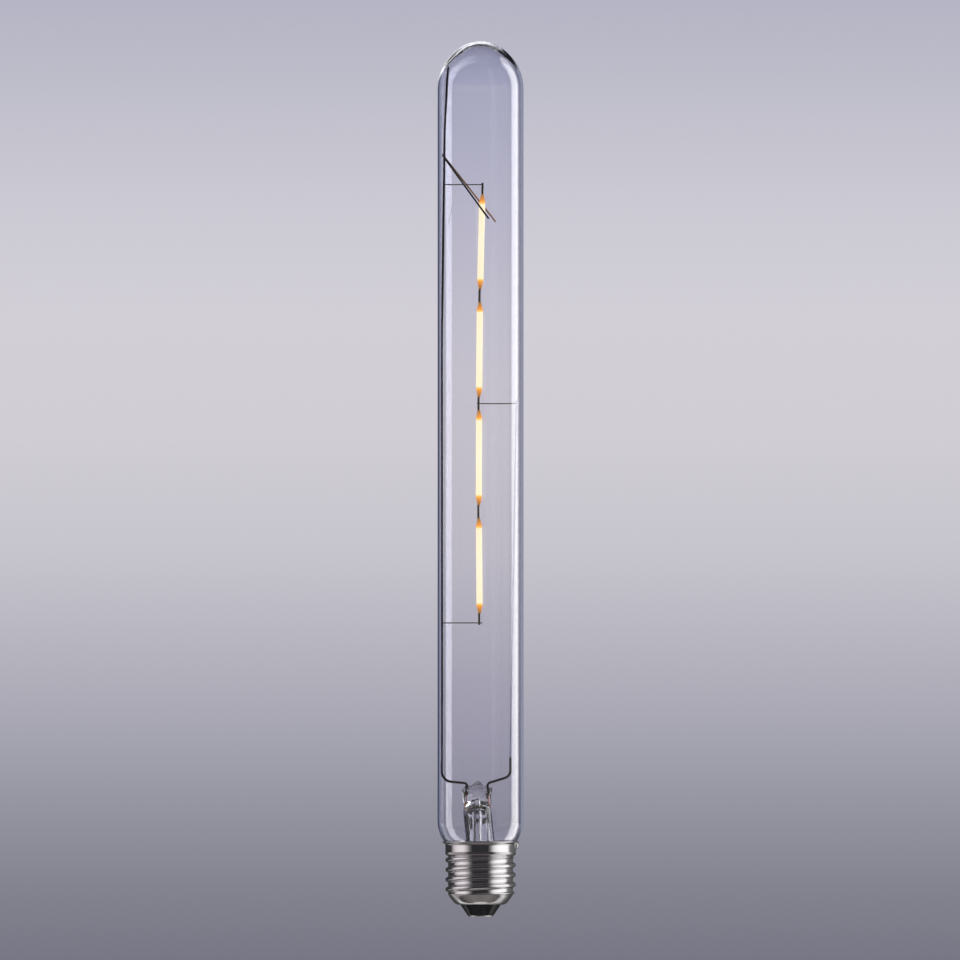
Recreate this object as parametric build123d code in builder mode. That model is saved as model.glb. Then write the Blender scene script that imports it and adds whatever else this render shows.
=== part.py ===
"""A long tubular LED-filament bulb with a screw cap, in millimetres.

The bulb stands on its centre contact: the origin is the middle of the contact's lower
face, +Z runs up the axis to the dome, and the wire frame lies along the XZ plane.
"""

import os
from math import atan2, cos, degrees, radians, sin, sqrt, tan

from build123d import *

# Glass envelope
overall_length = 326.0
glass_diameter = 32.0
glass_wall = 0.9
dome_height = 17.9
crown_diameter = 27.2
neck_diameter = 22.6
neck_length = 4.5
neck_lean = 40.0
mouth_gap = 0.16

# Screw shell
cap_height = 28.0
shell_sheet = 0.3
thread_diameter = 26.1
thread_depth = 1.0
thread_pitch = 25.4 / 7
thread_width = 3.0
crest_width = 0.8
thread_sink = 0.15
skirt_diameter = 26.2
skirt_height = 4.2
skirt_step = 0.7
lip_diameter = 28.4
lip_height = 1.3
shoulder_height = 3.9
bottom_roll_width = 2.0
bottom_roll_height = 0.45

# Insulator, contacts and cement
insulator_height = 4.05
insulator_seat = 2.0
insulator_top_diameter = 15.2
insulator_tip_diameter = 9.8
contact_diameter = 9.2
contact_thickness = 0.45
contact_edge = 0.15
contact_hole_diameter = 1.4
solder_recess = 0.05
side_bead_diameter = 2.5
side_bead_rise = 1.2
side_hole_drop = 2.7

# Stem
stem_diameter = 10.6
stem_wall = 0.9
flare_height = 7.0
stem_length = 12.15
pinch_width = 11.0
pinch_thickness = 4.6
pinch_blend = 2.4
pinch_height = 6.4
pinch_shift = -1.2
pinch_edge = 0.9
pinch_lump_diameter = 3.4
pinch_lump_height = 1.9
pinch_lump_taper = 25.0
exhaust_diameter = 3.6
exhaust_bore_diameter = 2.0
exhaust_gap = 0.55
blow_hole_diameter = 1.8
blow_hole_rise = 3.6

# Lead-in wires
lead_diameter = 0.78
lead_spacing = 7.6
lead_depth = 3.2
lead_rise = 1.1
left_lead_climb = 0.9
right_lead_climb = 2.6
lead_foot_bend = 1.3
left_lead_bend = 4.0
right_lead_bend = 3.0
lead_end_length = 7.0
seal_wire_diameter = 0.4
feed_wire_diameter = 0.4
feed_spacing = 6.4

# Support frame
support_diameter = 0.74
splice_length = 3.5
left_wall_gap = 0.2
left_bend_drop = 93.0
left_kink_drop = 16.0
left_upper_lean = 1.05
left_tip_lean = 1.3
left_bend = 60.0
dome_gap = 0.3
right_foot_gap = 3.6
right_top_gap = 1.35
cross_wire_diameter = 0.4
cross_wire_tail = 1.2

# Centring spring
spring_diameter = 0.66
spring_rise = 11.6
spring_bend = 0.5
spring_nose = 1.0
spring_front_place = 2.9
spring_front_drop = 25.0
spring_back_place = 5.7
spring_back_drop = 24.8
spring_wall_gap = 0.05

# Filament string, hung from the top cross wire
string_drop = 35.5
string_sway = (0.75, -0.4, -0.78, -0.85, -0.52)
filament_diameter = 2.0
filament_end_diameter = 1.1
filament_length = 35.5
filament_taper = 2.4
filament_gap = 4.76
string_end = 3.5
tab_width = 0.8
tab_thickness = 0.2
tab_grip = 1.0
tab_lap = 1.7
tab_overhang = 0.7

# Driver in the cap
board_height = 12.0
board_length = 17.0
board_width = 11.0
board_thickness = 1.0
chip_length = 4.8
chip_width = 3.8
chip_thickness = 1.5
chip_place = 6.4
capacitor_diameter = 5.0
capacitor_length = 4.4
capacitor_place = 5.2
resistor_diameter = 1.9
resistor_length = 3.6
resistor_drop = 1.0
centre_wire_diameter = 0.6
side_wire_diameter = 0.36
side_wire_climb = 3.5
side_wire_start = 0.6
side_wire_end = 0.25
fit_gap = 0.05

# Radii and heights of the glass and the cap
glass_radius = glass_diameter / 2
bore_radius = glass_radius - glass_wall
neck_radius = neck_diameter / 2
dome_base = overall_length - dome_height
root_radius = thread_diameter / 2 - thread_depth
skirt_radius = skirt_diameter / 2
shell_bottom = contact_thickness + insulator_height
shoulder_top = shell_bottom + shoulder_height
lip_foot = cap_height - lip_height
skirt_foot = lip_foot - skirt_height
side_hole_height = cap_height - side_hole_drop

# The glass leans in to clear the skirt, then tapers down into its neck
lean = radians(neck_lean)
skirt_bore = skirt_radius - shell_sheet
mouth_radius = skirt_bore - mouth_gap
shoulder_bend = (glass_radius - mouth_radius) / (1 - cos(lean))
shoulder_base = lip_foot + shoulder_bend * sin(lean)
neck_top = lip_foot - (mouth_radius - neck_radius) / tan(lean)
seal_height = neck_top - neck_length

# The dome: a wide arc off the tube that runs into a tighter crown
crown_radius = crown_diameter / 2
crown_height = overall_length - crown_radius
crown_rise = crown_height - dome_base
dome_bend = (glass_radius**2 + crown_rise**2 - crown_radius**2) / 2 / (glass_radius - crown_radius)
dome_turn = degrees(atan2(crown_rise, dome_bend - glass_radius))

# Heights up the stem
stem_radius = stem_diameter / 2
stem_bore = stem_radius - stem_wall
flare_top = seal_height + flare_height
pinch_foot = flare_top + stem_length
pinch_base = pinch_foot + pinch_blend
pinch_top = pinch_base + pinch_height
lead_joint = pinch_top - lead_depth
lead_turn = pinch_top + lead_rise
left_lead_top = lead_turn + left_lead_climb + lead_end_length
right_lead_top = lead_turn + right_lead_climb + lead_end_length
left_lead_x = pinch_shift - lead_spacing / 2
right_lead_x = pinch_shift + lead_spacing / 2
board_top = board_height + board_thickness
exhaust_length = pinch_foot - board_top - exhaust_gap

# The support wires stand behind the leads, one wire's thickness deep
frame_depth = (lead_diameter + support_diameter) / 2
left_x = -(bore_radius - left_wall_gap - support_diameter / 2)
left_upper_x = left_x + left_upper_lean
left_tip_x = left_upper_x + left_tip_lean
right_foot_x = bore_radius - right_foot_gap - support_diameter / 2
right_top_x = bore_radius - right_top_gap - support_diameter / 2
left_bend_height = dome_base - left_bend_drop
left_kink_height = dome_base - left_kink_drop
tip_reach = dome_bend - glass_radius - left_tip_x + support_diameter / 2
left_tip_height = dome_base + sqrt((dome_bend - glass_wall) ** 2 - tip_reach**2) - dome_gap

# Joints of the filament string, from the top cross wire down to the bottom one
string_top = dome_base - string_drop
filament_count = len(string_sway) - 1
filament_pitch = filament_length + filament_gap
middle_joint = filament_count // 2
first_joint = string_top - string_end + filament_gap / 2
joint_heights = [first_joint - index * filament_pitch for index in range(filament_count + 1)]
joint_heights[0] = string_top
joint_heights[-1] += filament_gap / 2 - string_end
front_tab_depth = frame_depth + (cross_wire_diameter + tab_thickness) / 2


def keep(piece, name):
    """Labels a finished piece and writes it."""
    piece.part.label = name
    export_step(piece.part, f"parts/{name}.step")


def bent_wire(points, bends, diameter):
    """A round wire along straight runs joined by arcs."""
    with BuildPart() as wire:
        with BuildLine() as route:
            FilletPolyline(*points, radius=bends)
        with BuildSketch(Plane(origin=route.line @ 0, z_dir=route.line % 0)):
            Circle(diameter / 2)
        sweep(path=route.line)
    return wire


def upright_wire(foot, top, diameter):
    """A straight wire, upright or leaning, with both ends cut level."""
    with BuildPart() as wire:
        for end in (foot, top):
            with BuildSketch(Plane(origin=end)):
                Circle(diameter / 2)
        loft()
    return wire


def envelope(inset):
    """The space inside the glass's outer face, or inside its inner face for one wall."""
    side = glass_radius - inset
    neck = neck_radius - inset
    swell = shoulder_bend - inset
    swell_x = glass_radius - shoulder_bend
    with BuildPart() as blank:
        with BuildSketch(Plane.XZ):
            with BuildLine():
                Polyline(
                    (0, overall_length - inset),
                    (0, seal_height),
                    (neck, seal_height),
                    (neck, neck_top + inset * tan(lean / 2)),
                    (swell_x + swell * cos(lean), shoulder_base - swell * sin(lean)),
                )
                CenterArc((swell_x, shoulder_base), swell, -neck_lean, neck_lean)
                Line((side, shoulder_base), (side, dome_base))
                CenterArc((glass_radius - dome_bend, dome_base), dome_bend - inset, 0, dome_turn)
                CenterArc((0, crown_height), crown_radius - inset, dome_turn, 90 - dome_turn)
            make_face()
        revolve(axis=Axis.Z)
    return blank


def thread_ridge():
    """The thread's helical ridge, run out at its foot and cut level with the skirt's step."""
    flank = (thread_width - crest_width) / 2 / thread_depth
    half_foot = thread_width / 2 + thread_sink * flank
    half_crest = crest_width / 2
    start = shoulder_top - thread_pitch
    inside = root_radius - 2 * thread_sink
    outside = root_radius + thread_depth + thread_sink
    with BuildPart() as ridge:
        with BuildLine() as turns:
            rise = skirt_foot + thread_pitch - start
            Helix(pitch=thread_pitch, height=rise, radius=root_radius, center=(0, 0, start))
        with BuildSketch(Plane(origin=(root_radius, 0, start), x_dir=(1, 0, 0), z_dir=(0, 1, 0))):
            with BuildLine():
                Polyline(
                    (-thread_sink, -half_foot),
                    (thread_depth, -half_crest),
                    (thread_depth, half_crest),
                    (-thread_sink, half_foot),
                    close=True,
                )
            make_face()
        sweep(path=turns.line, is_frenet=True)
        with BuildSketch(Plane.XZ):
            with BuildLine():
                Polyline(
                    (inside, shoulder_top),
                    (outside, shoulder_top + outside - inside),
                    (outside, skirt_foot + skirt_step - shell_sheet),
                    (inside, skirt_foot - shell_sheet),
                    close=True,
                )
            make_face()
        revolve(axis=Axis.Z, mode=Mode.INTERSECT)
    return ridge


def left_wire_place(height):
    """How far across the left support wire stands at a height."""
    if height < left_bend_height:
        return left_x
    share = (height - left_bend_height) / (left_kink_height - left_bend_height)
    return left_x + share * left_upper_lean


def right_wire_place(height):
    """How far across the right support wire stands at a height."""
    foot = right_lead_top - splice_length
    share = (height - foot) / (joint_heights[middle_joint] - foot)
    return right_foot_x + share * (right_top_x - right_foot_x)


os.makedirs("parts", exist_ok=True)

# Glass envelope: a blown tube with an even wall, open at the neck
glass_blank = envelope(0)
with BuildPart() as glass_envelope:
    add(glass_blank.part)
    add(envelope(glass_wall).part, mode=Mode.SUBTRACT)
keep(glass_envelope, "glass_envelope")

# Outside of the screw shell, from its bottom hole up to its lip
shell_hole = insulator_top_diameter / 2
shell_line = (
    (shell_hole, shell_bottom),
    (shell_hole + bottom_roll_width, shell_bottom + bottom_roll_height),
    (root_radius, shoulder_top),
    (root_radius, skirt_foot),
    (skirt_radius, skirt_foot + skirt_step),
    (skirt_radius, lip_foot),
    (lip_diameter / 2, cap_height),
)
with BuildPart() as cap_blank:
    with BuildSketch(Plane.XZ):
        with BuildLine():
            Polyline((0, cap_height), (0, shell_bottom), *shell_line, close=True)
        make_face()
    revolve(axis=Axis.Z)

# Screw shell: spun sheet with its edges cut level, a thread and a hole for the side wire
with BuildPart() as screw_shell:
    with BuildSketch(Plane.XZ):
        with BuildLine():
            Polyline(*shell_line)
            offset(amount=shell_sheet, side=Side.LEFT, kind=Kind.INTERSECTION)
        make_face()
        with Locations((shell_hole, shell_bottom)):
            Rectangle(lip_diameter, cap_height - shell_bottom, align=Align.MIN, mode=Mode.INTERSECT)
    revolve(axis=Axis.Z)
    shell_band = screw_shell.part
    add(thread_ridge().part)
    with BuildSketch(Plane.YZ.offset(neck_radius)):
        with Locations((0, side_hole_height)):
            Circle(side_wire_diameter / 2 + fit_gap)
    extrude(amount=skirt_radius, mode=Mode.SUBTRACT)
keep(screw_shell, "screw_shell")

# Insulator: a black glass plug moulded into the shell's bottom
insulator_top = shell_bottom + insulator_seat
roll_radius = shell_hole + bottom_roll_width
seat_share = (insulator_seat - bottom_roll_height) / (shoulder_height - bottom_roll_height)
with BuildPart() as cap_insulator:
    with BuildSketch(Plane.XZ):
        with BuildLine():
            Polyline(
                (0, contact_thickness),
                (insulator_tip_diameter / 2, contact_thickness),
                (shell_hole, shell_bottom),
                (roll_radius, shell_bottom + bottom_roll_height),
                (roll_radius + seat_share * (root_radius - roll_radius), insulator_top),
                (0, insulator_top),
                close=True,
            )
        make_face()
    revolve(axis=Axis.Z)
    add(shell_band, mode=Mode.SUBTRACT)
    with BuildSketch(Plane.XY):
        Circle(centre_wire_diameter / 2 + fit_gap)
    extrude(amount=insulator_top, mode=Mode.SUBTRACT)
keep(cap_insulator, "cap_insulator")

# Centre contact: a round plate with a soldered hole
with BuildPart() as centre_contact:
    with BuildSketch():
        Circle(contact_diameter / 2)
        Circle(contact_hole_diameter / 2, mode=Mode.SUBTRACT)
    extrude(amount=contact_thickness)
    rim = centre_contact.edges().filter_by(GeomType.CIRCLE).group_by(Axis.Z)[0].sort_by(SortBy.RADIUS)[-1]
    chamfer(rim, contact_edge)
keep(centre_contact, "centre_contact")

with BuildPart() as contact_solder:
    with BuildSketch(Plane.XY.offset(solder_recess)):
        Circle(contact_hole_diameter / 2)
    extrude(amount=contact_thickness - solder_recess)
keep(contact_solder, "contact_solder")

centre_wire = upright_wire((0, 0, contact_thickness), (0, 0, board_height), centre_wire_diameter)
keep(centre_wire, "centre_wire")

# Side wire: up between neck and shell, then out through the skirt
side_low = (neck_radius + root_radius - shell_sheet) / 2
side_high = (neck_radius + (side_hole_height - neck_top) * tan(lean) + skirt_bore) / 2
board_middle = board_height + board_thickness / 2
cement_foot = skirt_foot + skirt_step + shell_sheet
with BuildPart() as side_wire:
    with BuildLine() as side_route:
        Polyline(
            (board_length / 2, 0, board_middle),
            (board_length / 2 + side_wire_start, 0, board_middle),
            (side_low, 0, board_middle + side_wire_climb),
            (side_low, 0, cement_foot),
            (side_high, 0, neck_top),
            (side_high, 0, side_hole_height),
            (skirt_radius + side_wire_end, 0, side_hole_height),
        )
    with BuildSketch(Plane(origin=side_route.line @ 0, z_dir=side_route.line % 0)):
        Circle(side_wire_diameter / 2)
    sweep(path=side_route.line, transition=Transition.RIGHT)
keep(side_wire, "side_wire")

# Side solder: a bead on the skirt, under the lip
with BuildPart() as side_solder:
    with Locations((skirt_radius, 0, side_hole_height + side_bead_rise)):
        Sphere(side_bead_diameter / 2)
    add(cap_blank.part, mode=Mode.SUBTRACT)
    add(side_wire.part, mode=Mode.SUBTRACT)
keep(side_solder, "side_solder")

# Cement: a ring that holds the glass's neck in the skirt
with BuildPart() as cap_cement:
    with BuildSketch(Plane.XY.offset(cement_foot)):
        Circle(skirt_bore)
        Circle(neck_radius, mode=Mode.SUBTRACT)
    extrude(amount=neck_top - cement_foot)
    add(side_wire.part, mode=Mode.SUBTRACT)
keep(cap_cement, "cap_cement")

# Lead-in wires: a feed wire from the board, a seal wire in the pinch and a stiff lead above it
lead_runs = (
    ("left", -feed_spacing / 2, left_lead_x, left_x, left_lead_top, left_lead_bend),
    ("right", feed_spacing / 2, right_lead_x, right_foot_x, right_lead_top, right_lead_bend),
)
sealed_wires = []
for side, feed_x, lead_x, end_x, top, end_bend in lead_runs:
    feed_wire = upright_wire((feed_x, 0, board_top), (lead_x, 0, pinch_foot), feed_wire_diameter)
    seal_wire = upright_wire((lead_x, 0, pinch_foot), (lead_x, 0, lead_joint), seal_wire_diameter)
    lead = bent_wire(
        ((lead_x, 0, lead_joint), (lead_x, 0, lead_turn), (end_x, 0, top - lead_end_length), (end_x, 0, top)),
        (lead_foot_bend, end_bend),
        lead_diameter,
    )
    sealed_wires += [seal_wire, lead]
    keep(feed_wire, f"{side}_feed_wire")
    keep(seal_wire, f"{side}_seal_wire")
    keep(lead, f"{side}_lead")

# Stem: a flared tube that leans to its pinch, pressed flat round the wires
with BuildPart() as stem_flare:
    with BuildSketch(Plane.XZ):
        with BuildLine():
            rim = neck_radius - glass_wall - fit_gap
            Polyline(
                (neck_radius, seal_height),
                (rim, seal_height),
                (stem_radius, flare_top),
                (stem_bore, flare_top),
                (rim - stem_wall, seal_height - stem_wall),
                (neck_radius, seal_height - stem_wall),
                close=True,
            )
        make_face()
    revolve(axis=Axis.Z)
    with BuildSketch(Plane.XY.offset(flare_top)):
        Circle(stem_radius)
    with BuildSketch(Plane((pinch_shift, 0, pinch_foot))):
        Circle(stem_radius)
    loft()
    with BuildSketch(Plane((pinch_shift, 0, pinch_foot))):
        Circle(stem_radius)
    with BuildSketch(Plane((pinch_shift, 0, pinch_base + pinch_blend))):
        Ellipse(pinch_width / 2 - fit_gap, pinch_thickness / 2 - fit_gap)
    loft()
    with BuildSketch(Plane((pinch_shift, 0, pinch_base))):
        SlotOverall(pinch_width, pinch_thickness)
    extrude(amount=pinch_height)
    chamfer(stem_flare.faces().sort_by(Axis.Z)[-1].edges(), pinch_edge)
    with BuildSketch(Plane((pinch_shift, 0, pinch_top))):
        Circle(pinch_lump_diameter / 2)
    extrude(amount=pinch_lump_height, taper=pinch_lump_taper)
    with BuildSketch(Plane.XY.offset(flare_top)):
        Circle(stem_bore)
    with BuildSketch(Plane((pinch_shift, 0, pinch_foot))):
        Circle(stem_bore)
    loft(mode=Mode.SUBTRACT)
    with BuildSketch(Plane((pinch_shift, 0, pinch_foot))):
        Circle(exhaust_bore_diameter / 2)
    extrude(amount=blow_hole_rise, mode=Mode.SUBTRACT)
    with BuildSketch(Plane.XZ):
        with Locations((pinch_shift, pinch_foot + blow_hole_rise)):
            Circle(blow_hole_diameter / 2)
    extrude(amount=stem_radius, mode=Mode.SUBTRACT)
    for wire in sealed_wires:
        add(wire.part, mode=Mode.SUBTRACT)
keep(stem_flare, "stem_flare")

# Exhaust tube: open into the pinch, sealed off round at its lower tip
with BuildPart() as exhaust_tube:
    with BuildSketch(Plane((pinch_shift, 0, pinch_foot))):
        Circle(exhaust_diameter / 2)
    extrude(amount=-exhaust_length)
    tip = exhaust_tube.faces().sort_by(Axis.Z)[0]
    chamfer(tip.edges(), exhaust_diameter / 4)
    with BuildSketch(Plane((pinch_shift, 0, pinch_foot))):
        Circle(exhaust_bore_diameter / 2)
    extrude(amount=exhaust_diameter - exhaust_length, mode=Mode.SUBTRACT)
keep(exhaust_tube, "exhaust_tube")

# Support wires: the left one runs up to the dome, the right one to the middle cross wire
left_support_wire = bent_wire(
    (
        (left_x, frame_depth, left_lead_top - splice_length),
        (left_x, frame_depth, left_bend_height),
        (left_upper_x, frame_depth, left_kink_height),
        (left_tip_x, frame_depth, left_tip_height),
    ),
    left_bend,
    support_diameter,
)
keep(left_support_wire, "left_support_wire")

middle_height = joint_heights[middle_joint]
right_support_wire = upright_wire(
    (right_foot_x, frame_depth, right_lead_top - splice_length),
    (right_wire_place(middle_height + cross_wire_tail), frame_depth, middle_height + cross_wire_tail),
    support_diameter,
)
keep(right_support_wire, "right_support_wire")


def cross_wire(start, end, support):
    """A thin wire from a support wire, coped to it, across to the filament string."""
    reach = Vector(*end) - Vector(*start)
    with BuildPart() as wire:
        with BuildSketch(Plane(origin=start, z_dir=reach)):
            Circle(cross_wire_diameter / 2)
        extrude(amount=reach.length)
        add(support.part, mode=Mode.SUBTRACT)
    return wire


top_cross_wire = cross_wire(
    (left_wire_place(string_top), frame_depth, string_top),
    (string_sway[0], frame_depth, string_top),
    left_support_wire,
)
middle_cross_wire = cross_wire(
    (right_wire_place(middle_height), frame_depth, middle_height),
    (string_sway[middle_joint] - cross_wire_tail / 2, frame_depth, middle_height),
    right_support_wire,
)
bottom_depth = frame_depth + tab_thickness
bottom_cross_wire = cross_wire(
    (left_wire_place(joint_heights[-1]), bottom_depth, joint_heights[-1]),
    (string_sway[-1] + cross_wire_tail, bottom_depth, joint_heights[-1]),
    left_support_wire,
)
keep(top_cross_wire, "top_cross_wire")
keep(middle_cross_wire, "middle_cross_wire")
keep(bottom_cross_wire, "bottom_cross_wire")

# Centring spring: a hairpin welded round the left support wire, whose tips brace the glass
spring_height = string_top + spring_rise
spring_reach = bore_radius - spring_wall_gap - spring_diameter / 2
spring_front_depth = -sqrt(spring_reach**2 - spring_front_place**2)
spring_back_depth = sqrt(spring_reach**2 - spring_back_place**2)
spring_x = left_wire_place(spring_height)
hairpin = bent_wire(
    (
        (spring_front_place, spring_front_depth, spring_height - spring_front_drop),
        (spring_x - spring_nose, frame_depth, spring_height),
        (spring_back_place, spring_back_depth, spring_height - spring_back_drop),
    ),
    spring_bend,
    spring_diameter,
)
with BuildPart() as centring_spring:
    add(hairpin.part)
    add(left_support_wire.part, mode=Mode.SUBTRACT)
keep(centring_spring, "centring_spring")


def filament_tab(start, along, length):
    """A flat metal end tab, from inside the rod's end outwards."""
    with BuildPart() as tab:
        with BuildSketch(Plane(origin=start, x_dir=(0, 1, 0), z_dir=along)):
            Rectangle(tab_thickness, tab_width)
        extrude(amount=length)
    return tab


# Filaments: coated rods, alternately one tab deeper so that neighbours' tabs lap flat
for index in range(filament_count):
    depth = front_tab_depth + index % 2 * tab_thickness
    upper = Vector(string_sway[index], depth, joint_heights[index])
    lower = Vector(string_sway[index + 1], depth, joint_heights[index + 1])
    down = (lower - upper).normalized()
    first = index == 0
    last = index == filament_count - 1
    rod_top = upper + down * (string_end if first else filament_gap / 2)
    rod_foot = rod_top + down * filament_length
    top_length = tab_grip + (string_end + tab_overhang if first else filament_gap / 2 + tab_lap)
    foot_length = tab_grip + (string_end + tab_overhang if last else filament_gap / 2 + tab_lap)
    top_tab = filament_tab(rod_top + down * tab_grip, down * -1, top_length)
    bottom_tab = filament_tab(rod_foot - down * tab_grip, down, foot_length)
    with BuildPart() as filament:
        with BuildSketch(Plane(origin=rod_top, x_dir=(0, 1, 0), z_dir=down.cross(Vector(0, -1, 0)))):
            half = filament_diameter / 2
            tip = filament_end_diameter / 2
            with BuildLine():
                Polyline((0, 0), (tip, 0), (half, filament_taper), (half, filament_length - filament_taper),
                         (tip, filament_length), (0, filament_length), close=True)
            make_face()
        revolve(axis=Axis(rod_top, down))
        add(top_tab.part, mode=Mode.SUBTRACT)
        add(bottom_tab.part, mode=Mode.SUBTRACT)
    keep(filament, f"led_filament_{index + 1}")
    keep(top_tab, f"filament_{index + 1}_top_tab")
    keep(bottom_tab, f"filament_{index + 1}_bottom_tab")

# Driver board with its parts, level across the cap
with BuildPart() as driver_board:
    with BuildSketch(Plane.XY.offset(board_height)):
        Rectangle(board_length, board_width)
    extrude(amount=board_thickness)
keep(driver_board, "driver_board")

for name, place in (("bridge_rectifier", chip_place), ("driver_chip", -chip_place)):
    with BuildPart() as chip:
        with BuildSketch(Plane((place, 0, board_top))):
            Rectangle(chip_width, chip_length)
        extrude(amount=chip_thickness)
    keep(chip, name)

with BuildPart() as smoothing_capacitor:
    with BuildSketch(Plane((capacitor_place, 0, board_height))):
        Circle(capacitor_diameter / 2)
    extrude(amount=-capacitor_length)
keep(smoothing_capacitor, "smoothing_capacitor")

with BuildPart() as fuse_resistor:
    with BuildSketch(Plane.XY.offset(board_height - resistor_drop)):
        Circle(resistor_diameter / 2)
        Circle(centre_wire_diameter / 2, mode=Mode.SUBTRACT)
    extrude(amount=-resistor_length)
keep(fuse_resistor, "fuse_resistor")
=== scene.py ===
"""Looks of a long tubular LED-filament bulb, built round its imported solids.

Sizes are in mm and the scene is in metres.
"""
from math import atan2, cos, pi, radians, sin, sqrt, tan

import bpy
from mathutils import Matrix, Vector, noise


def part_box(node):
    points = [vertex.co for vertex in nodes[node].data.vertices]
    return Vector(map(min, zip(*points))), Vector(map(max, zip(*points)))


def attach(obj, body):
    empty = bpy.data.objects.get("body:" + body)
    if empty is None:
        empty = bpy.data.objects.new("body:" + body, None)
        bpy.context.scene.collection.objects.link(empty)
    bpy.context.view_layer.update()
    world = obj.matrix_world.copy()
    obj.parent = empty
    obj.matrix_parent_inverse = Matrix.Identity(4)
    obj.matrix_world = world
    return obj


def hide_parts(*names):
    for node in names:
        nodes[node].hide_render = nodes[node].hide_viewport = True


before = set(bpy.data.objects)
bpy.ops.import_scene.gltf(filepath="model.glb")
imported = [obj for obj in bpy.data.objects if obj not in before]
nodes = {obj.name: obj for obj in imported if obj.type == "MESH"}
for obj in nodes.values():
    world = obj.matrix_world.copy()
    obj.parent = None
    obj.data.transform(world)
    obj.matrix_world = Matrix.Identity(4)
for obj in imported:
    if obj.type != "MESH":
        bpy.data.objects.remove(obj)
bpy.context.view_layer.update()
scene = bpy.context.scene
MM = 0.001
AXIS = 0.02  # radius of a profile where it ends on its own axis

# Glass, as in the solids
GLASS_RADIUS = 16.0
GLASS_WALL = 0.9
GLASS_TOP = 326.0
GLASS_IOR = 1.5
DOME_BASE = 308.1
CROWN_RADIUS = 13.6
NECK_RADIUS = 11.3
NECK_FOOT = 20.6
MOUTH_RADIUS = 12.64
MOUTH_HEIGHT = 26.7
NECK_LEAN = radians(40)

# More glass inside the crown: how much, from which height, and over which rise it grows
CROWN_EXTRA = 0.65
EXTRA_FOOT = 314.5
EXTRA_RISE = 10.5

# Thread, as in the solids, with flat roots and round crests
ROOT_RADIUS = 12.05
THREAD_DEPTH = 1.0
THREAD_PITCH = 25.4 / 7
THREAD_START = 8.4
THREAD_TOP = 22.45
ROOT_SHARE = 0.2
FLANK_SHARE = 0.74
RUN_IN, RUN_IN_LENGTH = 8.0, 1.5
RUN_OUT, RUN_OUT_LENGTH = 22.6, 0.7


# Meshes
def angles_round(segments):
    return [2 * pi * j / segments for j in range(segments)]


def grid_piece(name, rows, finish, closed=True, start_cap=False, sharp=40.0):
    """A smooth mesh from rows of points in mm, with hard edges over an angle of sharp degrees.

    closed joins each row's ends, and start_cap closes the first row.
    """
    count = len(rows[0])
    faces = []
    for i in range(len(rows) - 1):
        for j in range(count if closed else count - 1):
            k = (j + 1) % count
            faces.append((i * count + j, i * count + k, (i + 1) * count + k, (i + 1) * count + j))
    if start_cap:
        faces.append(tuple(range(count))[::-1])
    mesh = bpy.data.meshes.new(name)
    mesh.from_pydata([Vector(p) * MM for row in rows for p in row], [], faces)
    mesh.polygons.foreach_set("use_smooth", [True] * len(mesh.polygons))
    mesh.set_sharp_from_angle(angle=radians(sharp))
    mesh.materials.append(finish)
    piece = bpy.data.objects.new(name, mesh)
    scene.collection.objects.link(piece)
    return piece


def dress(piece, slot, *stands_for):
    """Puts a piece on the bulb and hides the solids that it stands for; slot, the name of its
    finish, is not used.
    """
    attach(piece, "root")
    if stands_for:
        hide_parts(*stands_for)
    return piece


def turned(profile, segments, centre=(0, 0)):
    """Rows of points round an upright axis for a profile of (radius, height)."""
    x, y = centre
    turns = angles_round(segments)
    return [[(x + r * cos(a), y + r * sin(a), z) for a in turns] for r, z in profile]


def arc(centre, radius, start, end, steps):
    """Points (radius, height) along an arc, angles in radians."""
    turns = [start + (end - start) * i / steps for i in range(steps + 1)]
    return [(centre[0] + radius * cos(a), centre[1] + radius * sin(a)) for a in turns]


def run(start, end, steps):
    """Points along a straight run, without its first one."""
    (r, z), (r_end, z_end) = start, end
    return [(r + (r_end - r) * i / steps, z + (z_end - z) * i / steps) for i in range(1, steps + 1)]


def smooth(t):
    t = min(1.0, max(0.0, t))
    return t * t * (3 - 2 * t)


# Materials
def material(name):
    """A new node material with its Principled shader."""
    made = bpy.data.materials.new(name)
    made.use_nodes = True
    return made, made.node_tree.nodes["Principled BSDF"]


def node(mat, kind, **values):
    """Adds a node; values name its inputs, with _ for a space, or its own settings."""
    made = mat.node_tree.nodes.new(kind)
    for key, value in values.items():
        socket = key.replace("_", " ")
        if socket in made.inputs:
            made.inputs[socket].default_value = value
        else:
            setattr(made, key, value)
    return made


def link(mat, out, into):
    mat.node_tree.links.new(out, into)


def maths(mat, operation, *terms):
    """A Math node's result; terms are outputs of other nodes or plain numbers."""
    made = node(mat, "ShaderNodeMath", operation=operation)
    for socket, term in zip(made.inputs, terms):
        if isinstance(term, float):
            socket.default_value = term
        else:
            link(mat, term, socket)
    return made.outputs[0]


def along(mat, axis, place="Generated"):
    """The place along an axis: a share of the piece's own box, or metres with Object."""
    axes = node(mat, "ShaderNodeSeparateXYZ")
    link(mat, node(mat, "ShaderNodeTexCoord").outputs[place], axes.inputs["Vector"])
    return axes.outputs[axis]


def noise_of(mat, scale, stretch=(1, 1, 1), detail=3.0):
    """Noise over the object's own place in mm, stretched along its axes."""
    mapping = node(mat, "ShaderNodeMapping", Scale=[s / MM for s in stretch])
    texture = node(mat, "ShaderNodeTexNoise", Scale=scale, Detail=detail)
    link(mat, node(mat, "ShaderNodeTexCoord").outputs["Object"], mapping.inputs["Vector"])
    link(mat, mapping.outputs["Vector"], texture.inputs["Vector"])
    return texture.outputs["Fac"]


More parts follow.
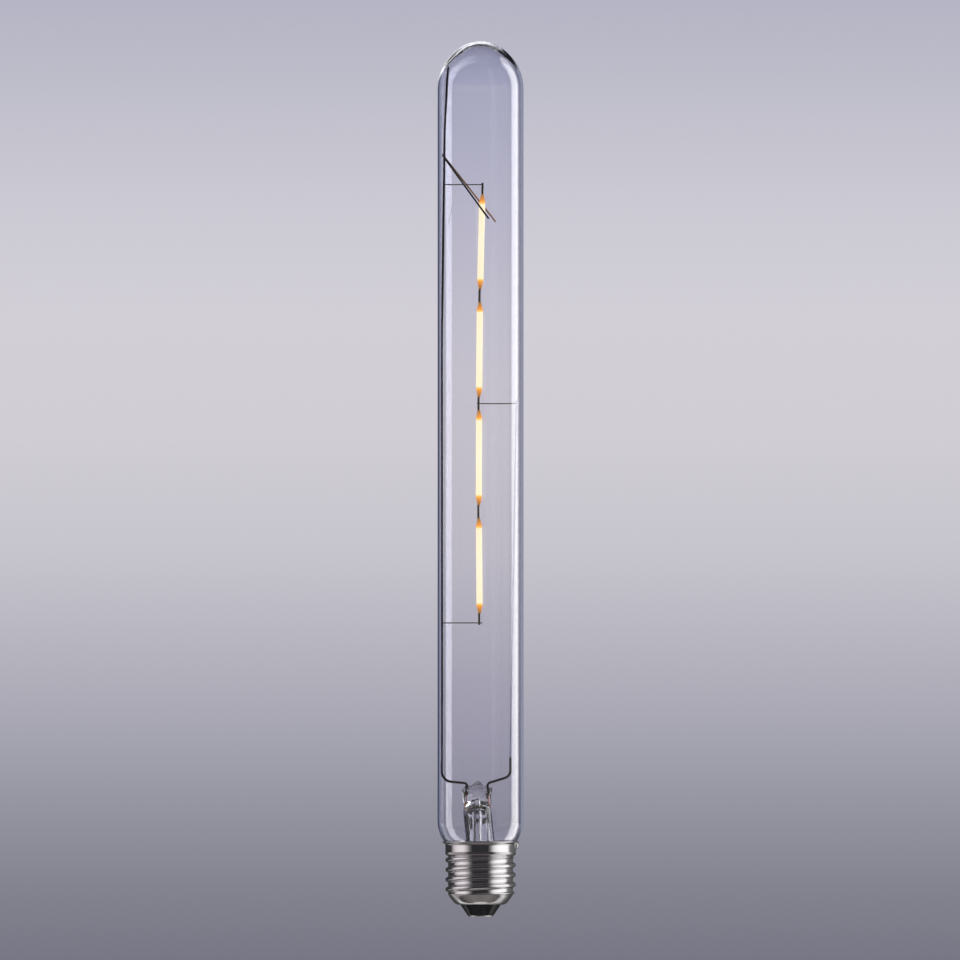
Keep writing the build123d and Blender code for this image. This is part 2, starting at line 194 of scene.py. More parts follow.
def ramp(mat, value, stops):
    """A colour ramp; stops are (place, colour)."""
    made = node(mat, "ShaderNodeValToRGB")
    elements = made.color_ramp.elements
    while len(elements) < len(stops):
        elements.new(0.5)
    for element, (place, colour) in zip(elements, stops):
        element.position = place
        element.color = (*colour, 1)
    link(mat, value, made.inputs["Fac"])
    return made.outputs["Color"]


def bump(mat, shader, height, distance):
    """Bumps a shader by a height from 0 to 1 that stands for a distance in mm."""
    made = node(mat, "ShaderNodeBump", Strength=1.0, Distance=distance * MM)
    link(mat, height, made.inputs["Height"])
    link(mat, made.outputs["Normal"], shader.inputs["Normal"])


def grey(value):
    return (value,) * 3


def varied(name, low, high, scale, rough, metallic=0.0, stretch=(1, 1, 1), bumps=None, **settings):
    """A material whose colour and roughness vary with noise.

    bumps are (height in mm, noise scale), and settings name other inputs of the shader.
    """
    mat, shader = material(name)
    value = noise_of(mat, scale, stretch)
    roughness = ((0.25, grey(rough[0])), (0.75, grey(rough[1])))
    link(mat, ramp(mat, value, ((0.3, low), (0.7, high))), shader.inputs["Base Color"])
    link(mat, ramp(mat, value, roughness), shader.inputs["Roughness"])
    shader.inputs["Metallic"].default_value = metallic
    for key, setting in settings.items():
        shader.inputs[key.replace("_", " ")].default_value = setting
    if bumps:
        height, bump_scale = bumps
        bump(mat, shader, noise_of(mat, bump_scale, stretch), height)
    return mat


def glass(name, streak, tints_and_shade):
    """Clear glass with the faint lengthwise ripple of drawn tube.

    streak is the ripple's height in mm, and the last argument holds (share of the piece's height,
    colour) stops: the glass's own tint, with painted shade where it turns darker up the piece.
    """
    mat, shader = material(name)
    link(mat, ramp(mat, along(mat, "Z"), tints_and_shade), shader.inputs["Base Color"])
    shader.inputs["Roughness"].default_value = 0.0
    shader.inputs["IOR"].default_value = GLASS_IOR
    shader.inputs["Transmission Weight"].default_value = 1.0
    bump(mat, shader, noise_of(mat, 0.35, stretch=(1, 1, 0.02), detail=2.0), streak)
    return mat


def phosphor():
    """The filament's coating: glowing in its middle, orange towards its ends, brown at its tips."""
    mat, shader = material("phosphor")
    away = maths(mat, "ABSOLUTE", maths(mat, "SUBTRACT", along(mat, "Z"), 0.5))
    glow = ramp(mat, away, (
        (0.0, (1.0, 0.92, 0.68)), (0.388, (1.0, 0.89, 0.60)), (0.404, (1.0, 0.56, 0.06)),
        (0.422, (0.90, 0.28, 0.0)), (0.448, (0.60, 0.19, 0.005)), (0.48, (0.36, 0.125, 0.015)),
        (0.5, (0.15, 0.055, 0.008)),
    ))
    coat = ramp(mat, away, ((0.40, (0.25, 0.18, 0.08)), (0.5, (0.20, 0.09, 0.02))))
    link(mat, glow, shader.inputs["Emission Color"])
    link(mat, coat, shader.inputs["Base Color"])
    shader.inputs["Emission Strength"].default_value = 1.0
    shader.inputs["Roughness"].default_value = 0.6
    return mat


# Finishes
CLEAR = (0.95, 0.95, 0.96)
# The tube's glass turns a little darker towards the crown, over its faint blue tint: painted shade.
tube_glass = glass("tube_glass", 0.012, ((0.5, (0.95, 0.948, 0.998)), (0.93, (0.918, 0.926, 1.0))))
# The stem's glass turns grey towards the pinch's top: painted shade.
stem_glass = glass("stem_glass", 0.02, (
    (0.8, CLEAR), (0.865, (0.66, 0.66, 0.69)), (0.93, (0.5, 0.5, 0.53)), (1.0, (0.6, 0.6, 0.63)),
))
exhaust_glass = glass("exhaust_glass", 0.02, ((0.0, CLEAR), (1.0, CLEAR)))
glowing = phosphor()
nickel = varied("bright_nickel", (0.80, 0.785, 0.80), (0.86, 0.845, 0.86), scale=0.22,
                rough=(0.05, 0.12), metallic=1.0, stretch=(1, 1, 6), bumps=(0.0025, 0.6))
black_glass = varied("black_glass", (0.006, 0.006, 0.007), (0.014, 0.014, 0.016), scale=0.5,
                     rough=(0.04, 0.12), bumps=(0.01, 0.4))
contact_metal = varied("contact_metal", (0.62, 0.60, 0.57), (0.78, 0.76, 0.73), scale=0.6,
                       rough=(0.25, 0.42), metallic=1.0, bumps=(0.01, 2.0))
solder_metal = varied("solder_metal", (0.62, 0.62, 0.63), (0.85, 0.85, 0.86), scale=0.8,
                      rough=(0.16, 0.34), metallic=1.0, bumps=(0.04, 1.1))
cement_paste = varied("cement_paste", (0.50, 0.43, 0.34), (0.66, 0.58, 0.47), scale=1.2,
                      rough=(0.8, 0.95), bumps=(0.06, 2.5))
# The right support wire is the same wire as the dark left one; its paler, bluish colour is a
# painted reflection of the bright strip beside it.
painted_sheen_wire = varied("painted_sheen_wire", (0.24, 0.24, 0.34), (0.34, 0.34, 0.46), scale=0.9,
                     rough=(0.3, 0.45), metallic=0.2)
cross_wire = varied("cross_wire", (0.05, 0.04, 0.038), (0.09, 0.07, 0.06), scale=0.5,
                    rough=(0.35, 0.5), metallic=0.5)
tinned_wire = varied("tinned_wire", (0.16, 0.155, 0.15), (0.30, 0.29, 0.28), scale=0.9,
                     rough=(0.35, 0.5), metallic=1.0)
seal_metal = varied("seal_metal", (0.42, 0.13, 0.08), (0.60, 0.24, 0.14), scale=1.5,
                    rough=(0.35, 0.5), metallic=0.7)
copper = varied("copper", (0.66, 0.36, 0.20), (0.80, 0.50, 0.30), scale=1.0,
                rough=(0.22, 0.36), metallic=1.0)
tab_metal = varied("tab_metal", (0.008, 0.007, 0.007), (0.03, 0.024, 0.02), scale=0.9,
                   rough=(0.35, 0.5), metallic=0.3, bumps=(0.008, 3.0), Specular_IOR_Level=0.3)
board_green = varied("board_green", (0.02, 0.09, 0.04), (0.04, 0.15, 0.07), scale=0.4,
                     rough=(0.3, 0.45))
moulded_black = varied("moulded_black", (0.012, 0.012, 0.013), (0.03, 0.03, 0.032), scale=2.0,
                       rough=(0.45, 0.6), bumps=(0.01, 5.0))
# The dark wires are near black; on the left support wire, the same wire as the right one, this is
# painted shade.
dark_wire, spring_wire = (
    varied(name, (0.004, 0.004, 0.006), (0.014, 0.012, 0.012), scale=0.5,
           rough=(0.4, 0.55), bumps=(0.006, 3.0), Specular_IOR_Level=0.25)
    for name in ("dark_wire", "spring_wire")
)
# The spring is painted near black on its front arm and brown towards its back arm: painted shade,
# and painted light of the filaments' glow.
PAINTED_FILAMENT_GLOW = ((0.45, (0.008, 0.008, 0.009)), (0.62, (0.10, 0.055, 0.03)), (0.8, (0.30, 0.16, 0.09)))
link(spring_wire, ramp(spring_wire, along(spring_wire, "Y"), PAINTED_FILAMENT_GLOW),
     spring_wire.node_tree.nodes["Principled BSDF"].inputs["Base Color"])


# Glass envelope
def envelope_line(inset):
    """The glass's profile from the neck up to the crown, one wall further in for its inner face."""
    side = GLASS_RADIUS - inset
    bend = (GLASS_RADIUS - MOUTH_RADIUS) / (1 - cos(NECK_LEAN))
    bend_z = MOUTH_HEIGHT + bend * sin(NECK_LEAN)
    neck_top = MOUTH_HEIGHT - (MOUTH_RADIUS - NECK_RADIUS) / tan(NECK_LEAN)
    crown_z = GLASS_TOP - CROWN_RADIUS
    rise = crown_z - DOME_BASE
    dome = (GLASS_RADIUS**2 + rise**2 - CROWN_RADIUS**2) / 2 / (GLASS_RADIUS - CROWN_RADIUS)
    dome_turn = atan2(rise, dome - GLASS_RADIUS)
    foot = (NECK_RADIUS - inset, NECK_FOOT)
    corner = (NECK_RADIUS - inset, neck_top + inset * tan(NECK_LEAN / 2))
    swell = arc((GLASS_RADIUS - bend, bend_z), bend - inset, -NECK_LEAN, 0, steps=24)
    line = [foot] + run(foot, corner, steps=6) + run(corner, swell[0], steps=4) + swell[1:]
    line += run((side, bend_z), (side, DOME_BASE), steps=60)
    line += arc((GLASS_RADIUS - dome, DOME_BASE), dome - inset, 0, dome_turn, steps=28)[1:]
    line += arc((0, crown_z), CROWN_RADIUS - inset, dome_turn, pi / 2, steps=18)[1:-1]
    line.append((AXIS, GLASS_TOP - inset))
    return [thicker_crown(r, z, crown_z) for r, z in line] if inset else line


def thicker_crown(r, z, centre):
    """Moves a point of the inner face in towards the crown's centre, more the higher it is."""
    if z <= centre:
        return r, z
    extra = CROWN_EXTRA * smooth((z - EXTRA_FOOT) / EXTRA_RISE)
    share = extra / sqrt(r * r + (z - centre) ** 2)
    return r * (1 - share), z - (z - centre) * share


outer, inner = envelope_line(0.0), envelope_line(GLASS_WALL)
envelope = grid_piece("envelope", turned(outer + inner[::-1] + outer[:1], 224), tube_glass)
dress(envelope, "clear_glass", "glass_envelope")

# Screw shell: spun sheet with a rolled thread. Profiles of (radius, height), up its outside and
# down its inside
SHELL_FOOT = [
    (7.6, 4.85), (7.62, 4.62), (7.75, 4.5), (8.2, 4.5), (8.75, 4.58), (9.25, 4.8), (9.66, 5.1),
    (10.0, 5.44), (10.28, 5.76), (10.6, 6.15), (11.15, 6.85), (11.6, 7.55), (11.9, 8.05),
]
SHELL_SKIRT = [
    (12.08, 22.55), (12.25, 22.66), (12.7, 22.9), (12.98, 23.05), (13.1, 23.28), (13.1, 24.2),
    (13.1, 25.3), (13.1, 26.4), (13.1, 26.72), (13.14, 26.88), (13.28, 27.05), (13.62, 27.3),
    (13.92, 27.44), (14.08, 27.54), (14.18, 27.68), (14.18, 27.83), (14.1, 27.94), (13.97, 28.0),
    (13.84, 27.96), (13.72, 27.84), (13.06, 26.98), (12.82, 26.7), (12.8, 23.4),
]
SHELL_INSIDE = [(11.75, 22.4), (11.75, 8.5), (9.4, 5.2), (7.9, 4.85)]


def thread_radius(z, angle):
    """The shell's outer radius on its threaded part, whose crest runs in and out at the ends."""
    turn = (z - THREAD_START) / THREAD_PITCH - angle / (2 * pi)
    wave = 0.5 + 0.5 * cos(2 * pi * turn)
    crest = THREAD_DEPTH * smooth((wave - ROOT_SHARE) / FLANK_SHARE)
    crest *= smooth((z - RUN_IN) / RUN_IN_LENGTH) * smooth((RUN_OUT - z) / RUN_OUT_LENGTH)
    return ROOT_RADIUS + crest


def shell_rows(segments, steps):
    thread = []
    for i in range(steps + 1):
        z = THREAD_START + (THREAD_TOP - THREAD_START) * i / steps
        points = [(thread_radius(z, a), a) for a in angles_round(segments)]
        thread.append([(r * cos(a), r * sin(a), z) for r, a in points])
    rows = turned(SHELL_FOOT, segments) + thread + turned(SHELL_SKIRT + SHELL_INSIDE, segments)
    return rows + rows[:1]


shell = grid_piece("shell", shell_rows(segments=240, steps=132), nickel, sharp=60)
dress(shell, "nickel_shell", "screw_shell")

# Insulator
plug_line = [
    (0.36, 0.46), (4.5, 0.46), (4.78, 0.5), (4.95, 0.66), (5.05, 0.86), (6.2, 2.53), (7.42, 4.3),
    (7.56, 4.52), (7.6, 4.85), (7.6, 6.48), (0.36, 6.48),
]
plug = grid_piece("insulator", turned(plug_line + plug_line[:1], 96), black_glass, sharp=50)
dress(plug, "black_insulator", "cap_insulator")

# Stem: a flared tube pressed flat round the wires
STEM_FOOT, PINCH_FOOT, PINCH_SHIFT = 27.6, 39.75, -1.2
PRESSED, PRESSED_LENGTH, PRESSED_SHARE = 39.0, 2.0, 0.35
STEM_SEGMENTS = 96
FLARE_SECTIONS = 3
stem_sections = (
    # height, place across, half width, half depth, squareness, ripple
    (19.7, 0.0, 11.28, 11.28, 2.0, 0.0), (20.6, 0.0, 11.28, 11.28, 2.0, 0.0),
    (20.61, 0.0, 10.3, 10.3, 2.0, 0.0), (21.9, 0.0, 9.2, 9.2, 2.0, 0.0),
    (23.9, 0.0, 7.6, 7.6, 2.0, 0.0), (25.9, 0.0, 6.2, 6.2, 2.0, 0.0),
    (27.6, 0.0, 5.4, 5.4, 2.0, 0.01), (29.4, -0.18, 5.3, 5.3, 2.0, 0.015),
    (33.2, -0.56, 5.3, 5.3, 2.0, 0.02), (37.0, -0.94, 5.3, 5.3, 2.0, 0.02),
    (39.0, -1.13, 5.28, 5.2, 2.0, 0.03), (40.0, -1.2, 5.12, 4.85, 2.0, 0.08),
    (41.0, -1.2, 5.0, 4.2, 2.05, 0.14), (42.0, -1.2, 5.12, 3.5, 2.2, 0.2),
    (43.0, -1.2, 5.36, 2.85, 2.5, 0.26), (44.2, -1.2, 5.5, 2.4, 2.9, 0.3),
    (46.0, -1.2, 5.5, 2.3, 3.0, 0.42), (47.2, -1.2, 5.46, 2.28, 3.0, 0.7),
    (47.9, -1.2, 5.25, 2.12, 2.8, 0.8), (48.35, -1.2, 4.75, 1.9, 2.5, 0.85),
    (48.62, -1.2, 3.9, 1.75, 2.2, 0.8), (48.85, -1.2, 2.7, 1.6, 2.0, 0.7),
    (49.4, -1.15, 1.75, 1.35, 2.0, 0.55), (50.0, -1.1, 1.2, 1.0, 2.0, 0.35),
    (50.4, -1.05, 0.5, 0.45, 2.0, 0.1), (50.45, -1.05, AXIS, AXIS, 2.0, 0.0),
)
bore_line = (
    (10.2, 19.71), (9.4, 20.45), (6.9, 23.9), (5.2, 26.0), (4.4, 27.6), (4.4, 39.2), (4.1, 39.9),
    (3.2, 40.5), (2.0, 40.85), (1.0, 41.2), (0.95, 43.0), (0.7, 43.6), (AXIS, 43.75),
)


def between(sections, per):
    """More sections, straight along the flare's rim and then on a smooth curve through them."""
    made = []
    last = len(sections) - 1
    for i in range(last):
        before, after = sections[max(i - 1, 0)], sections[min(i + 2, last)]
        values = list(zip(before, sections[i], sections[i + 1], after))
        for k in range(per):
            t = k / per
            if i < FLARE_SECTIONS:
                made.append(tuple(a + t * (b - a) for _, a, b, _ in values))
            else:
                made.append(tuple(
                    0.5 * (2 * a + (b - p) * t + (2 * p - 5 * a + 4 * b - n) * t * t
                           + (3 * a - p - 3 * b + n) * t**3)
                    for p, a, b, n in values
                ))
    return made + [sections[last]]


def signed_power(value, power):
    return abs(value) ** power * (1 if value >= 0 else -1)


def stem_row(section):
    """Points round the stem's outside, squarer and lumpier towards the pinch's top."""
    z, across, wide, deep, square, ripple = section
    row = []
    for a in angles_round(STEM_SEGMENTS):
        x = across + wide * signed_power(cos(a), 2 / square)
        y = deep * signed_power(sin(a), 2 / square)
        coarse = noise.noise(Vector((x, y, z)) * 0.55)
        lump = ripple * (coarse + 0.6 * noise.noise(Vector((x, y, z + 20)) * 1.3))
        rise = 0.6 * ripple * noise.noise(Vector((x, y, z + 40)) * 0.8)
        row.append((
            across + (x - across) * (1 + 0.6 * lump / max(wide, 1)),
            y * (1 + lump / max(deep, 1)),
            z + rise,
        ))
    return row


def bore_row(r, z):
    """Points round the stem's bore, which leans with the stem and is flatter in the pinch."""
    lean = PINCH_SHIFT * min(1.0, max(0.0, (z - STEM_FOOT) / (PINCH_FOOT - STEM_FOOT)))
    flat = 1.0 - PRESSED_SHARE * smooth((z - PRESSED) / PRESSED_LENGTH)
    return [(lean + r * cos(a), flat * r * sin(a), z) for a in angles_round(STEM_SEGMENTS)]


bore_rows = [bore_row(r, z) for r, z in bore_line]
stem_rows = [stem_row(section) for section in between(stem_sections, per=4)]
stem = grid_piece("stem", bore_rows[::-1] + stem_rows, stem_glass, sharp=70)
dress(stem, "clear_glass", "stem_flare")

tube_line = [
    (AXIS, 13.56), (0.8, 13.66), (1.4, 14.05), (1.72, 14.7), (1.8, 15.4), (1.8, 39.6), (1.0, 39.6),
    (1.0, 17.4), (0.7, 16.6), (AXIS, 16.3),
]
exhaust = grid_piece("exhaust", turned(tube_line, 64, (PINCH_SHIFT, 0)), exhaust_glass, sharp=50)
dress(exhaust, "clear_glass", "exhaust_tube")

# Filaments: coated rods that hang in a string from joint to joint
JOINTS = (272.6, 231.22, 190.96, 150.70, 109.32)
SWAY = (0.78, -0.24, -0.6, -0.66, -0.34)
FIRST_DROP, DROP = 3.5, 2.38
ROD, ROD_RADIUS, ROD_TAPER = 35.5, 1.16, 3.6
ROD_LUMPS = 0.04
rod_tip = [
    (AXIS, 0.0), (0.36, 0.02), (0.46, 0.12), (0.53, 0.35), (0.72, 1.1), (0.9, 1.9), (1.04, 2.6),
    (ROD_RADIUS, ROD_TAPER),
]
rod_line = rod_tip + run(rod_tip[-1], (ROD_RADIUS, ROD - ROD_TAPER), steps=40)
rod_line += [(r, ROD - s) for r, s in rod_tip[-2::-1]]
rods = []
for index in range(4):
    low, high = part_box(f"led_filament_{index + 1}")
    depth = (low[1] + high[1]) / 2 / MM
    upper = Vector((SWAY[index], depth, JOINTS[index]))
    lower = Vector((SWAY[index + 1], depth, JOINTS[index + 1]))
    down = (lower - upper).normalized()
    top = upper + down * (FIRST_DROP if index == 0 else DROP)
    side = down.cross(Vector((0, -1, 0))).normalized()
    back = down.cross(side)
    rows = []
    for r, s in rod_line:
        point = top + down * s
        ring = []
        for a in angles_round(40):
            out = (side * cos(a) + back * sin(a)) * r
            lump = noise.noise((point + out) * 0.9 + Vector((0, 0, 9 * index)))
            ring.append(point + out * (1 + ROD_LUMPS * lump))
        rows.append(ring)
    rod = grid_piece(f"filament_rod_{index + 1}", rows, glowing, sharp=80)
    rods.append(dress(rod, "filament_coat", f"led_filament_{index + 1}"))

# Finishes of the solids that stay as they are
finishes = {
    contact_metal: ("centre_contact",),
    solder_metal: ("contact_solder", "side_solder"),
    cement_paste: ("cap_cement",),
    dark_wire: ("left_lead", "right_lead", "left_support_wire"),
    spring_wire: ("centring_spring",),
    cross_wire: ("top_cross_wire", "middle_cross_wire", "bottom_cross_wire"),
    painted_sheen_wire: ("right_support_wire",),
    seal_metal: ("left_seal_wire", "right_seal_wire"),
    tinned_wire: ("left_feed_wire", "right_feed_wire"),
    copper: ("centre_wire", "side_wire"),
    tab_metal: tuple(f"filament_{n}_{end}_tab" for n in range(1, 5) for end in ("top", "bottom")),
    board_green: ("driver_board",),
    moulded_black: ("bridge_rectifier", "driver_chip", "smoothing_capacitor", "fuse_resistor"),
}
for finish, names in finishes.items():
    for name in names:
        nodes[name].data.materials.clear()
        nodes[name].data.materials.append(finish)

# The dark wires look a little stouter in the photograph
WIRE_SWELL = 0.06
for name in finishes[dark_wire]:
    swell = nodes[name].modifiers.new("swell", "DISPLACE")
    swell.strength = WIRE_SWELL * MM
    swell.mid_level = 0.0

# Clear glass lets the lamps through to what it encloses
for clear in (envelope, stem, exhaust):
    clear.visible_shadow = False
    clear.visible_diffuse = False

# Camera, in metres: far off, level with the cap and tilted up to the middle of the bulb
DISTANCE, VIEW_WIDTH, EYE, ACROSS = 5.0, 0.3573, 0.1625, -0.00022
SENSOR = 36.0
camera = bpy.data.objects.new("camera", bpy.data.cameras.new("camera"))
scene.collection.objects.link(camera)
camera.location = (ACROSS, -DISTANCE, 0)
camera.rotation_euler = (radians(90) + atan2(EYE, DISTANCE), 0, 0)
camera.data.sensor_width = SENSOR
camera.data.lens = SENSOR * sqrt(DISTANCE**2 + EYE**2) / VIEW_WIDTH
camera.data.clip_end = 50
scene.camera = camera

# Stage: a pale floor and a round cove, and cards that show only in the glass and the cap
FLOOR, FLOOR_LIFT, FLOOR_MARGIN = -40.0, 0.5, 100.0
COVE, COVE_BEND, COVE_WALL, COVE_TIP = 6000.0, 35.0, 1500.0, 0.001
HUB = 1.0  # radius at which floor and cove are capped
FADE = 1200.0  # height over which the cove is shaded
SEEN_FOOT = 70.0  # through glass, the cove looks no darker than at this height
MIRRORED = 0.06  # strength of floor and cove in mirrored light
COVE_SHADES = (
    # height, then the screen levels there
    (FLOOR, 119, 118, 132), (22, 131, 131, 144), (80, 146, 146, 158), (145, 164, 163, 176),
    (211, 180, 178, 189), (293, 197, 195, 204), (391, 208, 205, 212), (490, 210, 207, 215),
    (588, 203, 201, 211), (654, 194, 193, 205), (746, 181, 181, 197), (FADE, 172, 172, 188),
)


def level(value):
    """Linear light for a screen level from 0 to 255."""
    share = value / 255
    return share / 12.92 if share <= 0.04045 else ((share + 0.055) / 1.055) ** 2.4


def stage_material(name):
    """A new node material without a shader."""
    mat, shader = material(name)
    mat.node_tree.nodes.remove(shader)
    return mat


def light_path(mat, output):
    return node(mat, "ShaderNodeLightPath").outputs[output]


def show(mat, share, plain, other):
    """Makes a material's surface of two shaders, mixed by a share."""
    mix = node(mat, "ShaderNodeMixShader")
    link(mat, share, mix.inputs["Fac"])
    link(mat, plain.outputs[0], mix.inputs[1])
    link(mat, other.outputs[0], mix.inputs[2])
    link(mat, mix.outputs[0], mat.node_tree.nodes["Material Output"].inputs["Surface"])
    mat.cycles.emission_sampling = "NONE"
    return mat


def mirror_mix(mat, plain, mirrored):
    """Shows one shader to plain sight and the other to mirrored light."""
    return show(mat, maths(mat, "MINIMUM", light_path(mat, "Glossy Depth"), 1.0), plain, mirrored)


def cove_material():
    """Pale paint, shaded up the wall, that looks dim in mirrored light."""
    mat = stage_material("cove_paint")
    through = node(mat, "ShaderNodeMapRange", To_Min=FLOOR * MM, To_Max=SEEN_FOOT * MM)
    link(mat, light_path(mat, "Transmission Depth"), through.inputs["Value"])
    seen = maths(mat, "MAXIMUM", along(mat, "Z", "Object"), through.outputs["Result"])
    height = node(mat, "ShaderNodeMapRange", From_Min=FLOOR * MM, From_Max=FADE * MM)
    link(mat, seen, height.inputs["Value"])
    stops = [((z - FLOOR) / (FADE - FLOOR), [level(c) for c in rgb]) for z, *rgb in COVE_SHADES]
    paint = ramp(mat, height.outputs["Result"], stops)
    pale = node(mat, "ShaderNodeEmission")
    dim = node(mat, "ShaderNodeEmission", Strength=MIRRORED)
    link(mat, paint, pale.inputs["Color"])
    link(mat, paint, dim.inputs["Color"])
    return mirror_mix(mat, pale, dim)


def floor_material():
    """Pale matt floor that takes shadows and looks dim in mirrored light."""
    mat = stage_material("floor_paint")
    pale = node(mat, "ShaderNodeBsdfDiffuse", Color=(0.70, 0.69, 0.695, 1))
    dim = node(mat, "ShaderNodeEmission", Color=(0.2, 0.2, 0.22, 1), Strength=MIRRORED)
    return mirror_mix(mat, pale, dim)


floor_hub = (HUB, FLOOR + FLOOR_LIFT)
floor_line = [floor_hub] + run(floor_hub, (COVE - FLOOR_MARGIN, FLOOR + FLOOR_LIFT), steps=6)
floor = grid_piece("floor", turned(floor_line, 96), floor_material(), start_cap=True)
cove_line = [(HUB, FLOOR)] + run((HUB, FLOOR), (COVE - COVE_BEND, FLOOR), steps=6)
cove_line += arc((COVE - COVE_BEND, FLOOR + COVE_BEND), COVE_BEND, -pi / 2, 0, steps=8)[1:]
cove_line += run(cove_line[-1], (COVE, COVE_WALL), steps=10)
cove_line += arc((0, COVE_WALL), COVE, 0, pi / 2 - COVE_TIP, steps=16)[1:]
cove = grid_piece("cove", turned(cove_line, 160), cove_material(), start_cap=True, sharp=80)


# Cards
def own_light(mat):
    """Light of a card's own colours."""
    light = node(mat, "ShaderNodeEmission")
    glow = node(mat, "ShaderNodeAttribute", attribute_name="glow")
    link(mat, glow.outputs["Color"], light.inputs["Color"])
    return light


def card_material():
    """A card's light, which only mirrored light sees and which hides nothing."""
    mat = stage_material("card_light")
    clear = node(mat, "ShaderNodeBsdfTransparent")
    both = node(mat, "ShaderNodeAddShader")
    link(mat, clear.outputs[0], both.inputs[0])
    link(mat, own_light(mat).outputs[0], both.inputs[1])
    return mirror_mix(mat, clear, both)


def bent_material():
    """A card's light that shows only behind more glass than the envelope's two walls."""
    mat = stage_material("bent_light")
    behind = maths(mat, "GREATER_THAN", light_path(mat, "Transmission Depth"), 4.5)
    straight = maths(mat, "LESS_THAN", light_path(mat, "Glossy Depth"), 0.5)
    deep = maths(mat, "MULTIPLY", behind, straight)
    return show(mat, deep, node(mat, "ShaderNodeBsdfTransparent"), own_light(mat))


def receivers(name, pieces):
    """A group of pieces that a card or a lamp lights."""
    made = bpy.data.collections.new(name)
    for piece in pieces:
        made.objects.link(piece)
    return made


card_light, bent_light = card_material(), bent_material()
contacts = [nodes[name] for name in ("centre_contact", "contact_solder", "side_solder")]
GLASS = receivers("lit_glass", (envelope, stem, exhaust))
STEM = receivers("lit_stem", (stem,))
CAP = receivers("lit_cap", (shell, plug, *contacts))
BULB = receivers("lit_bulb", (envelope, shell, plug, stem, exhaust, *rods, *nodes.values()))
REACH = 900.0  # distance of the cards from the bulb
BENT_REACH = REACH - 10
SPOTS = 32  # steps across a faded card


def glowing_card(name, rows, colours, lit, light=card_light):
    """A card that lights a group of pieces, or all of them. colours has one for each point."""
    made = grid_piece(name, rows, light, closed=False)
    glow = made.data.attributes.new("glow", "FLOAT_COLOR", "POINT")
    values = [value for row in colours for colour in row for value in (*colour, 1.0)]
    glow.data.foreach_set("color", values)
    made.visible_camera = made.visible_diffuse = made.visible_shadow = False
    if lit:
        made.light_linking.receiver_collection = lit


def tint(colour, strength):
    return tuple(c * strength for c in colour)


def blend(stops, place):
    """The colour at a place between stops of (place, colour)."""
    for (a, first), (b, second) in zip(stops, stops[1:]):
        if place <= b:
            share = max(0.0, (place - a) / (b - a))
            return tuple(p + (q - p) * share for p, q in zip(first, second))
    return stops[-1][1]


def faded(colour, edge, steps):
    """A colour for each spot across a card, full in the middle and gone at the sides."""
    shares = [j / steps for j in range(steps + 1)]
    if not edge:
        return [colour] * len(shares)
    return [tint(colour, smooth(share / edge) * smooth((1 - share) / edge)) for share in shares]


def spots(turn, steps):
    """Turns in radians along a card, from its first to its last one in degrees."""
    return [radians(turn[0] + (turn[1] - turn[0]) * j / steps) for j in range(steps + 1)]


def upright(reach, turn, heights, steps):
    """Rows of an upright card. turn runs to the right from the camera's side."""
    return [[(reach * sin(a), -reach * cos(a), z) for a in spots(turn, steps)] for z in heights]


def card(name, turn, heights, colours, edge=0.0, lit=GLASS):
    """An upright card for the glass; colours belong to the heights."""
    lights = [faded(colour, edge, steps=48) for colour in colours]
    glowing_card(name, upright(REACH, turn, heights, steps=48), lights, lit)


def dome_card(name, turns, colour, edge):
    """A card for the glass on a sphere round the bulb. turns are (rise, first turn, last turn)."""
    rows = []
    for rise, *turn in turns:
        up = radians(rise)
        out, z = REACH * cos(up), EYE / MM + REACH * sin(up)
        rows += upright(out, turn, (z,), SPOTS)
    glowing_card(name, rows, [faded(colour, edge, SPOTS)] * len(rows), GLASS)


def back_card(name, spread, clock, colour, edge):
    """A card for the glass behind the crown, spread out from dead centre.

    clock runs to the right from straight up.
    """
    rows = []
    for out in spots(spread, 16):
        r, y = REACH * sin(out), REACH * cos(out)
        rows.append([(r * sin(a), y, GLASS_TOP + r * cos(a)) for a in spots(clock, SPOTS)])
    glowing_card(name, rows, [faded(colour, edge, SPOTS)] * len(rows), GLASS)


def ring_card(name, rings, lit):
    """A card all round the bulb. rings are (radius, height, stops of turn and light)."""
    steps = 120
    rows, lights = [], []
    for r, z, stops in rings:
        rows += upright(r, (-180, 180), (z,), steps)
        lights.append([blend(stops, -180 + 360 * (j / steps)) for j in range(steps + 1)])
    glowing_card(name, rows, lights, lit)


def bent_card(name, turn, heights, colour):
    """An upright card of one colour that shows only through the stem."""
    rows = upright(BENT_REACH, turn, heights, steps=24)
    glowing_card(name, rows, [[colour] * len(row) for row in rows], None, bent_light)


# Light for the glass: a tall strip behind on the right, a warm glow in front, dim blue edges
# and a bright crown
CARD_TOP = 600
PURE = (1.0, 1.0, 1.0)
STRIP = tint((1.0, 0.985, 0.95), 3.9)
RIGHT_EDGE, LEFT_EDGE = tint((0.74, 0.78, 1.0), 0.36), tint((0.64, 0.70, 1.0), 0.38)
LEFT_RIM = (0.035, 0.04, 0.075)
LOW = (0.17, 0.16, 0.14)
DIM = tint((0.9, 0.93, 1.0), 0.06)
strip_turns = [(rise, 92, 122.5) for rise in (-13.2, -6, 0, 10, 20, 30, 40, 47)]
strip_turns += [(53, 94, 120), (58, 99, 115)]
dome_card("right_strip", strip_turns, STRIP, edge=0.06)
front = ((FLOOR, LOW), (100, (0.25, 0.23, 0.19)), (160, (0.5, 0.43, 0.26)),
         (240, (0.48, 0.42, 0.23)), (310, (0.2, 0.17, 0.1)), (420, (0, 0, 0)))
card("front_glow", (-88, 91), *zip(*front))
card("right_edge", (140, 178), (FLOOR, CARD_TOP), (RIGHT_EDGE, RIGHT_EDGE))
